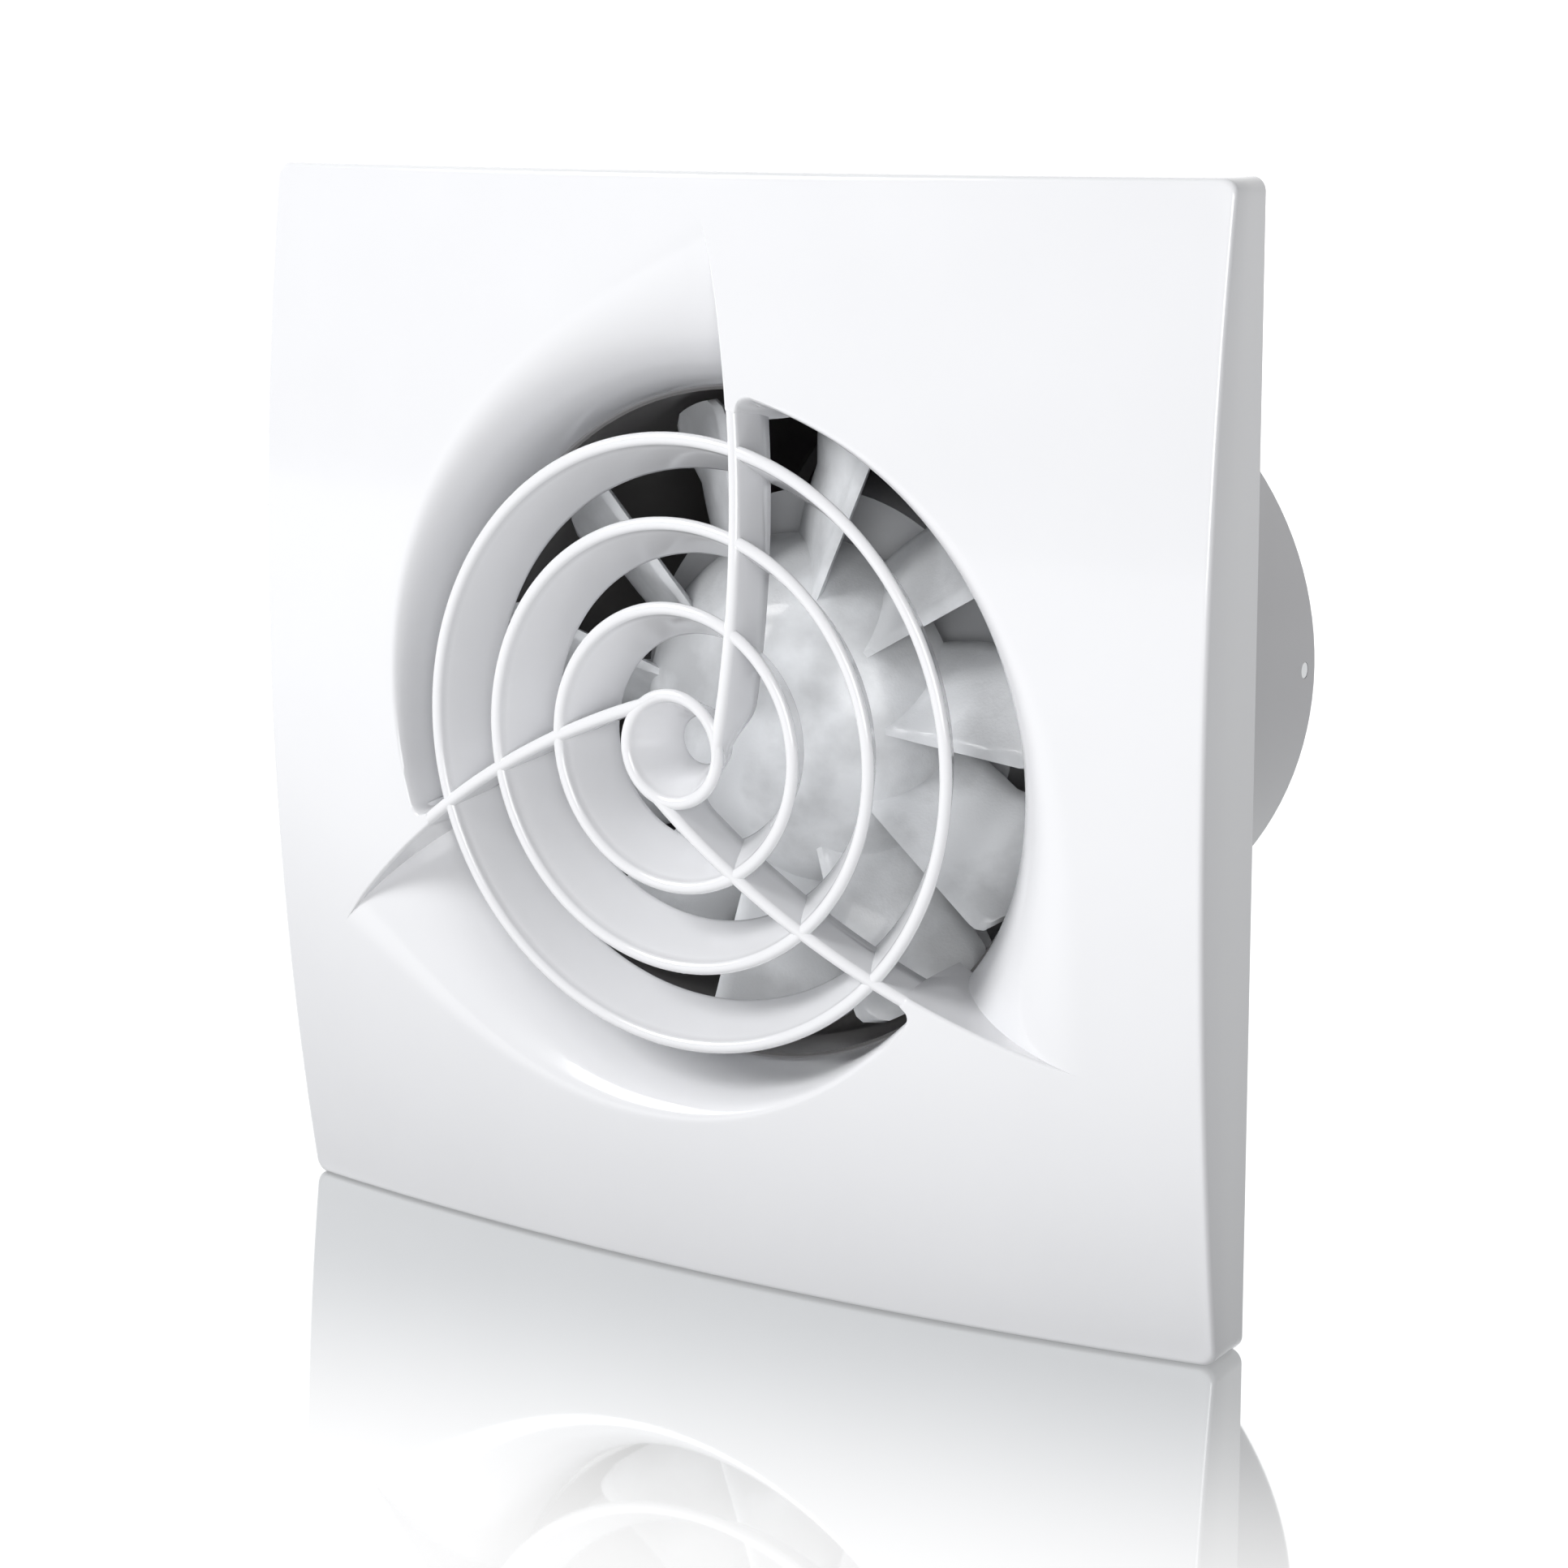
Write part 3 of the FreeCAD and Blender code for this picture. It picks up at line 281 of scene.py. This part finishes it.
def panel_column(arm, sector, spread, outer_steps=14, round_steps=5):
    """One closed loop of points: out over the front, round the edge, and back along the inside."""
    inner = THROAT_RADIUS - notch(sector)

    def swept(radius, shift):
        edge = arm_angle(radius, -ARM_WIDTH / 2) + arm + sector
        return edge - math.degrees(shift / radius)

    column = []
    for s in spread:
        radius = inner + (PANEL_ROUND - inner) * s
        y = front_surface(sector, radius, inner) + cliff_round(sector, radius)
        column.append(point(radius, swept(radius, 0), y))
    base = swept(PANEL_ROUND, 0)
    ray = corner_warp(base)
    start = Vector(point(PANEL_ROUND, base, 0))
    flat_half = COVER_HALF - EDGE_ROUND
    edge = square_point(flat_half, COVER_CORNER, ray)
    for i in range(1, outer_steps + 1):
        t = i / outer_steps
        x, z = start.x + (edge[0] - start.x) * t, start.z + (edge[1] - start.z) * t
        column.append((x, dome_y(math.hypot(x, z)), z))
    rim_y = dome_y(math.hypot(*edge))
    for i in range(1, round_steps + 1):
        turn = math.pi / 2 * i / round_steps
        half = flat_half + EDGE_ROUND * math.sin(turn)
        x, z = square_point(half, COVER_CORNER, ray)
        column.append((x, rim_y + EDGE_ROUND * (1 - math.cos(turn)), z))
    x, z = square_point(COVER_HALF, COVER_CORNER, ray)
    column.append((x, rim_y / 2, z))
    column.append((x, -RIM_CORNER, z))
    x, z = square_point(COVER_HALF - RIM_CORNER, COVER_CORNER, ray)
    column.append((x, 0.0, z))
    inside = square_point(COVER_HALF - COVER_SKIN, INNER_CORNER, ray)
    column.append((inside[0], 0.0, inside[1]))
    column.append((inside[0], dome_y(math.hypot(*inside)) + COVER_SKIN, inside[1]))
    back_start = swept(PANEL_ROUND, ARM_WIDTH)
    join = Vector(point(PANEL_ROUND, back_start, 0))
    for t in (0.7, 0.4):
        x, z = join.x + (inside[0] - join.x) * t, join.z + (inside[1] - join.z) * t
        column.append((x, dome_y(math.hypot(x, z)) + COVER_SKIN, z))
    wall_inner = inner + WALL_SKIN
    rim = wall_inner + lip_reach(sector) + BACK_REACH
    deep = THROAT_BACK - BACK_DROP - COVER_SKIN - dome_y(wall_inner)
    for s in reversed(spread[::2]):
        radius = wall_inner + (PANEL_ROUND - wall_inner) * s
        inward = clamp((rim - radius) / (rim - wall_inner))
        y = dome_y(radius) + COVER_SKIN + deep * (1 - math.sqrt(1 - inward * inward))
        column.append(point(radius, swept(radius, ARM_WIDTH), y))
    return column


# ---------------------------------------------------------------- grille
def half_round(middle, reach, y, depth, steps):
    """Inner points of a half ellipse in (radius, y), from one side of its middle to the other."""
    turns = [math.pi * i / steps for i in range(1, steps)]
    return [(middle + reach * math.cos(turn), y + depth * math.sin(turn)) for turn in turns]


def grille_ring(radius, foot):
    """A ring whose rounded front lip lies on the dome and whose wall tapers inwards."""
    front = dome_y(radius)

    def wall(lip_side, foot_side, steps=14):
        along = [i / steps for i in range(steps + 1)]
        return [(lip_side + (foot_side - lip_side) * t ** RING_BOW,
                 front + RING_NOSE + (RING_DEPTH - RING_NOSE - RING_HEEL) * t) for t in along]

    outer = wall(radius, foot + RING_FOOT)
    inner = wall(radius - RING_LIP, foot)
    heel = half_round(foot + RING_FOOT / 2, RING_FOOT / 2, front + RING_DEPTH - RING_HEEL, RING_HEEL, 6)
    lip = half_round(radius - RING_LIP / 2, -RING_LIP / 2, front + RING_NOSE, -RING_NOSE, 10)
    return lathe(outer + heel + inner[::-1] + lip)


def grille_arm(turn):
    """One curved arm from the innermost ring out to the panel, rounded along its front edge."""
    steps, half = 64, ARM_WIDTH / 2
    cx, cz = ARM_BOW[0] - ARM_CURVE, ARM_BOW[1]
    first = math.atan2(-cz, -cx)
    last = math.asin((THROAT_RADIUS + WALL_SKIN - cz) / ARM_CURVE)
    core, core_foot = RINGS[0][0] - RING_LIP / 2, RINGS[0][1] + RING_FOOT / 2
    turns = [math.pi * k / 8 for k in range(9)]
    section = [(-half * math.cos(turn), ARM_NOSE - ARM_NOSE * math.sin(turn)) for turn in turns]
    section += [(half, 3.2), (half, 5.8), (half * 0.86, ARM_DEPTH - 0.2), (half * 0.6, ARM_DEPTH),
                (-half * 0.6, ARM_DEPTH), (-half * 0.86, ARM_DEPTH - 0.2), (-half, 5.8), (-half, 3.2)]
    verts = []
    for i in range(steps + 1):
        a = first + (last - first) * (i / steps) ** 1.2
        along = ARM_CURVE * (a - first)
        front = dome_y(math.hypot(cx + ARM_CURVE * math.cos(a), cz + ARM_CURVE * math.sin(a)))
        curl = ARM_CURL * (1 - smooth(along / CURL_LENGTH))
        for across, deep in section:
            reach = ARM_CURVE + across - curl * (deep / ARM_DEPTH) ** 1.5
            x, z = cx + reach * math.cos(a), cz + reach * math.sin(a)
            clear = core + (core_foot - core) * deep / RING_DEPTH
            radius = max(math.hypot(x, z), clear)
            verts.append(point(radius, math.degrees(math.atan2(z, x)) + turn, front + deep))
    rows, width = steps + 1, len(section)
    faces = grid_faces(rows, width, wrap_columns=True)
    faces.append(tuple(range(width)))
    faces.append(tuple((rows - 1) * width + j for j in reversed(range(width))))
    return verts, faces


def grille():
    """Four rings and three arms."""
    for name, (radius, foot) in zip(("one", "two", "three", "four"), RINGS):
        verts, faces = grille_ring(radius, foot)
        make(f"grille_{name}", verts, faces, FIXED, "cover_white", f"grille_ring_{name}", 60)
    for name, turn in zip(("upper", "left", "right"), ARMS):
        verts, faces = grille_arm(turn)
        make(f"grille_arm_{name}", verts, faces, FIXED, "cover_white", "grille_arms", 60)


# ---------------------------------------------------------------- impeller
def blade(index):
    """A twisted blade with rounded edges and tip corners."""
    span, chord = 26, 18
    base = BLADE_PHASE + index * 360 / BLADES
    verts = []
    for side in (1, -1):
        for i in range(span + 1):
            radius = ROOT_RADIUS + (TIP_RADIUS - ROOT_RADIUS) * (i / span)
            for j in range(chord + 1):
                verts.append(blade_point(base, radius, j / chord, side))
    rows, columns = span + 1, chord + 1
    faces = grid_faces(rows, columns)
    faces += [tuple(reversed(f)) for f in grid_faces(rows, columns, start=rows * columns)]
    rim = (list(range(columns)) + [i * columns + columns - 1 for i in range(1, rows)]
           + [(rows - 1) * columns + j for j in range(columns - 2, -1, -1)]
           + [i * columns for i in range(rows - 2, 0, -1)])
    back = rows * columns
    for a, b in zip(rim, rim[1:] + rim[:1]):
        faces.append((a, b, back + b, back + a))
    return verts, faces


def blade_point(base, radius, across, side):
    """A point on one side of a blade; across runs from the leading to the trailing edge."""
    near_tip = max(radius - (TIP_RADIUS - TIP_ROUND), 0.0)
    shrink = TIP_ROUND - math.sqrt(max(TIP_ROUND ** 2 - near_tip ** 2, 0.0))
    lead = math.degrees(math.asin(LEAD_OFFSET / radius))
    trail = TRAIL_ANGLE + ROOT_FLARE * clamp(1 - (radius - FLARE_FROM) / FLARE_OVER)
    chord_mm = radius * math.radians(trail - lead)
    cut = min(shrink / chord_mm, 0.45)
    t = cut + (1 - 2 * cut) * across
    angle = lead + (trail - lead) * t
    rise = BLADE_RISE + RISE_GROWTH * (radius - RISE_FROM)
    past = t - clamp((radius - FOLD_FROM) / FOLD_OVER)
    folded = FOLD_DEPTH * (past + math.hypot(past, FOLD_SOFT)) / 2
    y = LEAD_DEPTH - LEAD_SWEEP * (radius - RISE_FROM) + rise * t + folded
    slope = math.atan2(rise, chord_mm)
    edge = min(across, 1 - across)
    thick = BLADE_HALF_THICK * math.sqrt(min(edge / BLADE_EDGE, 1.0))
    along = -math.sin(slope) * thick * side
    y += math.cos(slope) * thick * side
    return point(radius, base + angle + math.degrees(along / radius), y)


def impeller():
    """The hollow domed hub and its blades, as one piece."""
    steps = 36
    turns = [math.pi / 2 * i / steps for i in range(steps + 1)]

    def bowl(radius, rise):
        return [(max(radius * math.sin(turn), 0.01), HUB_BACK - rise * math.cos(turn)) for turn in turns]

    outside = bowl(HUB_RADIUS, HUB_RISE)
    inside = bowl(HUB_RADIUS - HUB_SKIN, HUB_RISE - HUB_SKIN)
    verts, faces = lathe(outside + inside[::-1], 160)
    for k in range(BLADES):
        extra, quads = blade(k)
        faces += [tuple(len(verts) + v for v in q) for q in quads]
        verts += extra
    make("impeller_wheel", verts, faces, ROTOR, "impeller_grey", "impeller", 50)


# ---------------------------------------------------------------- materials
def material(name, colour, roughness, metallic=0.0, mottle=0.03, bump=0.02, bump_scale=900.0,
             coat=0.0, rough_spread=0.05, cloud_edges=(0.3, 0.7)):
    """A procedural finish: mottled colour, uneven roughness and a fine bump."""
    mat = bpy.data.materials.new(name)
    mat.use_nodes = True
    nodes, links = mat.node_tree.nodes, mat.node_tree.links
    shader = nodes["Principled BSDF"]
    shader.inputs["Metallic"].default_value = metallic
    shader.inputs["Coat Weight"].default_value = coat
    shader.inputs["Coat Roughness"].default_value = 0.06
    place = nodes.new("ShaderNodeTexCoord")
    cloud = nodes.new("ShaderNodeTexNoise")
    cloud.inputs["Scale"].default_value = 60.0
    cloud.inputs["Detail"].default_value = 8.0
    links.new(place.outputs["Object"], cloud.inputs["Vector"])
    ramp = nodes.new("ShaderNodeValToRGB")
    ramp.color_ramp.elements[0].position, ramp.color_ramp.elements[1].position = cloud_edges
    ramp.color_ramp.elements[0].color = (*[c * (1 - mottle) for c in colour], 1)
    ramp.color_ramp.elements[1].color = (*[min(c * (1 + mottle), 1) for c in colour], 1)
    links.new(cloud.outputs["Fac"], ramp.inputs["Fac"])
    links.new(ramp.outputs["Color"], shader.inputs["Base Color"])
    spread = nodes.new("ShaderNodeMapRange")
    spread.inputs["To Min"].default_value = max(roughness - rough_spread, 0.02)
    spread.inputs["To Max"].default_value = roughness + rough_spread
    links.new(cloud.outputs["Fac"], spread.inputs["Value"])
    links.new(spread.outputs["Result"], shader.inputs["Roughness"])
    grain = nodes.new("ShaderNodeTexNoise")
    grain.inputs["Scale"].default_value = bump_scale
    grain.inputs["Detail"].default_value = 3.0
    links.new(place.outputs["Object"], grain.inputs["Vector"])
    bumps = nodes.new("ShaderNodeBump")
    bumps.inputs["Strength"].default_value = bump
    bumps.inputs["Distance"].default_value = 0.0002
    links.new(grain.outputs["Fac"], bumps.inputs["Height"])
    links.new(bumps.outputs["Normal"], shader.inputs["Normal"])
    return mat


def duct_finish():
    """Satin plastic, with painted shade: a dark grey colour on the inside of the spigot, where little
    light reaches.
    """
    mat = material("housing_white_satin", (0.64, 0.64, 0.66), 0.32, mottle=0.01)
    nodes, links = mat.node_tree.nodes, mat.node_tree.links
    shader = nodes["Principled BSDF"]
    ramp = next(n for n in nodes if n.type == "VALTORGB")
    place = nodes.new("ShaderNodeTexCoord")
    flat = nodes.new("ShaderNodeVectorMath")
    flat.operation = "MULTIPLY"
    flat.inputs[1].default_value = (1, 0, 1)
    links.new(place.outputs["Object"], flat.inputs[0])
    radius = nodes.new("ShaderNodeVectorMath")
    radius.operation = "LENGTH"
    links.new(flat.outputs["Vector"], radius.inputs[0])
    inside = nodes.new("ShaderNodeMapRange")
    inside.inputs["From Min"].default_value = (SPIGOT_RADIUS - 1.4) * MM
    inside.inputs["From Max"].default_value = (SPIGOT_RADIUS - 0.8) * MM
    inside.inputs["To Min"].default_value = 1.0
    inside.inputs["To Max"].default_value = 0.0
    links.new(radius.outputs["Value"], inside.inputs["Value"])
    # painted shade: inside the spigot's radius the colour turns dark grey, standing in for the shade deep
    # in the duct
    painted_duct_shade = nodes.new("ShaderNodeMix")
    painted_duct_shade.data_type = "RGBA"
    painted_duct_shade.inputs["B"].default_value = (0.17, 0.165, 0.165, 1)
    links.new(inside.outputs["Result"], painted_duct_shade.inputs["Factor"])
    links.new(ramp.outputs["Color"], painted_duct_shade.inputs["A"])
    links.new(painted_duct_shade.outputs["Result"], shader.inputs["Base Color"])
    return mat


def finishes():
    """One finish for each material slot of the record."""
    return {
        "cover_white": material("cover_white_gloss", (0.725, 0.73, 0.75), 0.16, mottle=0.006, bump=0.01,
                                bump_scale=500, coat=0.35),
        "housing_white": duct_finish(),
        "bracket_grey": material("bracket_grey_satin", (0.60, 0.61, 0.63), 0.42, mottle=0.05, bump=0.06),
        # the impeller's strong grey mottle is partly painted shade, soft blotches standing in for the
        # shadows of the rings and arms, and partly random tone; the fine bump is its grain
        "impeller_grey": material("impeller_grey_grain_painted_shade", (0.72, 0.735, 0.755), 0.34, mottle=0.17,
                                  bump=0.2, bump_scale=2600, coat=0.3, cloud_edges=(0.40, 0.58)),
        "zinc_steel": material("zinc_plated", (0.62, 0.62, 0.60), 0.30, metallic=1.0, mottle=0.08),
        "shield_steel": material("pressed_steel", (0.42, 0.43, 0.44), 0.38, metallic=1.0, mottle=0.06),
        "laminations": material("varnished_laminations", (0.16, 0.15, 0.15), 0.42, metallic=0.7, bump=0.1),
        "copper": material("enamelled_copper", (0.62, 0.27, 0.12), 0.30, metallic=0.8, bump=0.25,
                           bump_scale=1500),
        "bobbin": material("bobbin_nylon", (0.80, 0.77, 0.68), 0.45),
        "bronze": material("sintered_bronze", (0.50, 0.34, 0.16), 0.50, metallic=0.9, bump=0.2),
        "shaft_steel": material("ground_steel", (0.66, 0.67, 0.68), 0.16, metallic=1.0),
        "rotor_aluminium": material("cast_aluminium", (0.66, 0.67, 0.68), 0.45, metallic=1.0, bump=0.15),
        "washer_nylon": material("washer_nylon_satin", (0.85, 0.82, 0.72), 0.45),
        "terminal_nylon": material("terminal_nylon_satin", (0.85, 0.84, 0.79), 0.38),
        "terminal_brass": material("plated_brass", (0.70, 0.55, 0.26), 0.25, metallic=1.0),
        "lead_brown": material("lead_brown_pvc", (0.16, 0.07, 0.03), 0.40),
        "lead_blue": material("lead_blue_pvc", (0.03, 0.09, 0.38), 0.40),
        "grommet_rubber": material("black_rubber", (0.025, 0.025, 0.025), 0.70, bump=0.1),
        "flap_grey": material("flap_dark_grey", (0.035, 0.035, 0.037), 0.50, bump=0.05),
        "spring_steel": material("drawn_steel", (0.55, 0.55, 0.55), 0.22, metallic=1.0),
    }


def paint(looks):
    """Give every CAD node, and every piece made here, the finish of its slot."""
    slots = {part["node"]: part["material_slot"] for part in frame["record"]["subparts"]}
    for node, item in frame["nodes"].items():
        item.data.materials.clear()
        item.data.materials.append(looks[slots[node]])
    for piece in bpy.context.scene.objects:
        if piece.type == "MESH" and not piece.data.materials and piece.get("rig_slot"):
            piece.data.materials.append(looks[piece["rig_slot"]])


# ---------------------------------------------------------------- studio
def look_at_matrix(place, yaw, pitch, roll):
    """World matrix of a camera at a place; yaw turns left, pitch looks down, roll tips the horizon."""
    y, p, r = (math.radians(v) for v in (yaw, pitch, roll))
    ahead = Vector((-math.sin(y) * math.cos(p), math.cos(y) * math.cos(p), -math.sin(p)))
    level = Vector((math.cos(y), math.sin(y), 0))
    above = level.cross(ahead)
    right = math.cos(r) * level + math.sin(r) * above
    up = -math.sin(r) * level + math.cos(r) * above
    turn = Matrix((right, up, -ahead)).transposed().to_4x4()
    return Matrix.Translation(Vector(place) * MM) @ turn


def add_camera():
    data = bpy.data.cameras.new("camera")
    data.lens = CAMERA_LENS
    data.sensor_width = 36.0
    camera = bpy.data.objects.new("camera", data)
    camera.matrix_world = look_at_matrix(CAMERA_PLACE, *CAMERA_TURN)
    bpy.context.scene.collection.objects.link(camera)
    bpy.context.scene.camera = camera


def area_light(name, place, size, power):
    """A white lamp that points at the origin."""
    data = bpy.data.lights.new(name, "AREA")
    data.shape = "RECTANGLE"
    data.size, data.size_y = size
    data.energy = power
    lamp = bpy.data.objects.new(name, data)
    aim = (-Vector(place)).to_track_quat("-Z", "Y")
    lamp.matrix_world = Matrix.Translation(place) @ aim.to_matrix().to_4x4()
    bpy.context.scene.collection.objects.link(lamp)
    return lamp


def shade(lamp, item):
    """Keep a lamp off one object."""
    kept_off = bpy.data.collections.new(lamp.name + "_kept_off")
    kept_off.objects.link(item)
    kept_off.collection_objects[0].light_linking.link_state = "EXCLUDE"
    lamp.light_linking.receiver_collection = kept_off


def floor_finish():
    """Glossy pale floor whose mirror image of the fan fades into white with distance from the wall."""
    mat = material("pale_floor", (0.80, 0.815, 0.82), 0.03, metallic=1.0, mottle=0.0, bump=0.0,
                   rough_spread=0.01)
    nodes, links = mat.node_tree.nodes, mat.node_tree.links
    shader = nodes["Principled BSDF"]
    place = nodes.new("ShaderNodeTexCoord")
    toward = nodes.new("ShaderNodeVectorMath")
    toward.operation = "DOT_PRODUCT"
    toward.inputs[1].default_value = FLOOR_WAY
    links.new(place.outputs["Object"], toward.inputs[0])
    away = nodes.new("ShaderNodeMapRange")
    away.interpolation_type = "SMOOTHSTEP"
    away.inputs["From Min"].default_value, away.inputs["From Max"].default_value = FLOOR_EDGES
    links.new(toward.outputs["Value"], away.inputs["Value"])
    tint = nodes.new("ShaderNodeValToRGB")
    tint.color_ramp.elements[0].color = (*MIRROR_TINT, 1)
    tint.color_ramp.elements[1].color = (*WHITE_TINT, 1)
    links.new(away.outputs["Result"], tint.inputs["Fac"])
    links.new(tint.outputs["Color"], shader.inputs["Base Color"])
    glow = nodes.new("ShaderNodeMapRange")
    glow.inputs["To Min"].default_value = MIRROR_GLOW
    glow.inputs["To Max"].default_value = WHITE_GLOW
    links.new(away.outputs["Result"], glow.inputs["Value"])
    links.new(glow.outputs["Result"], shader.inputs["Emission Strength"])
    shader.inputs["Emission Color"].default_value = (1, 1, 1, 1)
    return mat


def studio():
    """A world that is bright behind the fan only, the floor, and two lamps that are kept off the floor."""
    world = bpy.data.worlds.new("studio")
    world.use_nodes = True
    nodes, links = world.node_tree.nodes, world.node_tree.links
    place = nodes.new("ShaderNodeTexCoord")
    toward = nodes.new("ShaderNodeVectorMath")
    toward.operation = "DOT_PRODUCT"
    toward.inputs[1].default_value = BACKDROP_WAY
    links.new(place.outputs["Generated"], toward.inputs[0])
    level = nodes.new("ShaderNodeMapRange")
    level.interpolation_type = "SMOOTHSTEP"
    level.inputs["From Min"].default_value, level.inputs["From Max"].default_value = BACKDROP_EDGES
    level.inputs["To Min"].default_value = ROOM_LIGHT
    level.inputs["To Max"].default_value = BACKDROP_LIGHT
    links.new(toward.outputs["Value"], level.inputs["Value"])
    links.new(level.outputs["Result"], nodes["Background"].inputs["Strength"])
    nodes["Background"].inputs["Color"].default_value = (1, 1, 1, 1)
    bpy.context.scene.world = world
    bpy.context.scene.view_settings.view_transform = "Standard"
    mesh = bpy.data.meshes.new("floor")
    ends = ((-FLOOR_REACH, -FLOOR_REACH), (FLOOR_REACH, -FLOOR_REACH),
            (FLOOR_REACH, FLOOR_REACH), (-FLOOR_REACH, FLOOR_REACH))
    corners = [(x, y, FLOOR_Z * MM) for x, y in ends]
    mesh.from_pydata(corners, [], [(0, 1, 2, 3)])
    floor = bpy.data.objects.new("floor", mesh)
    bpy.context.scene.collection.objects.link(floor)
    floor.data.materials.append(floor_finish())
    shade(area_light("key", KEY_PLACE, KEY_SIZE, KEY_POWER), floor)
    shade(area_light("fill", FILL_PLACE, FILL_SIZE, FILL_POWER), floor)


# ---------------------------------------------------------------- build
add_camera()
looks = finishes()
cover_panel()
grille()
impeller()
paint(looks)
studio()
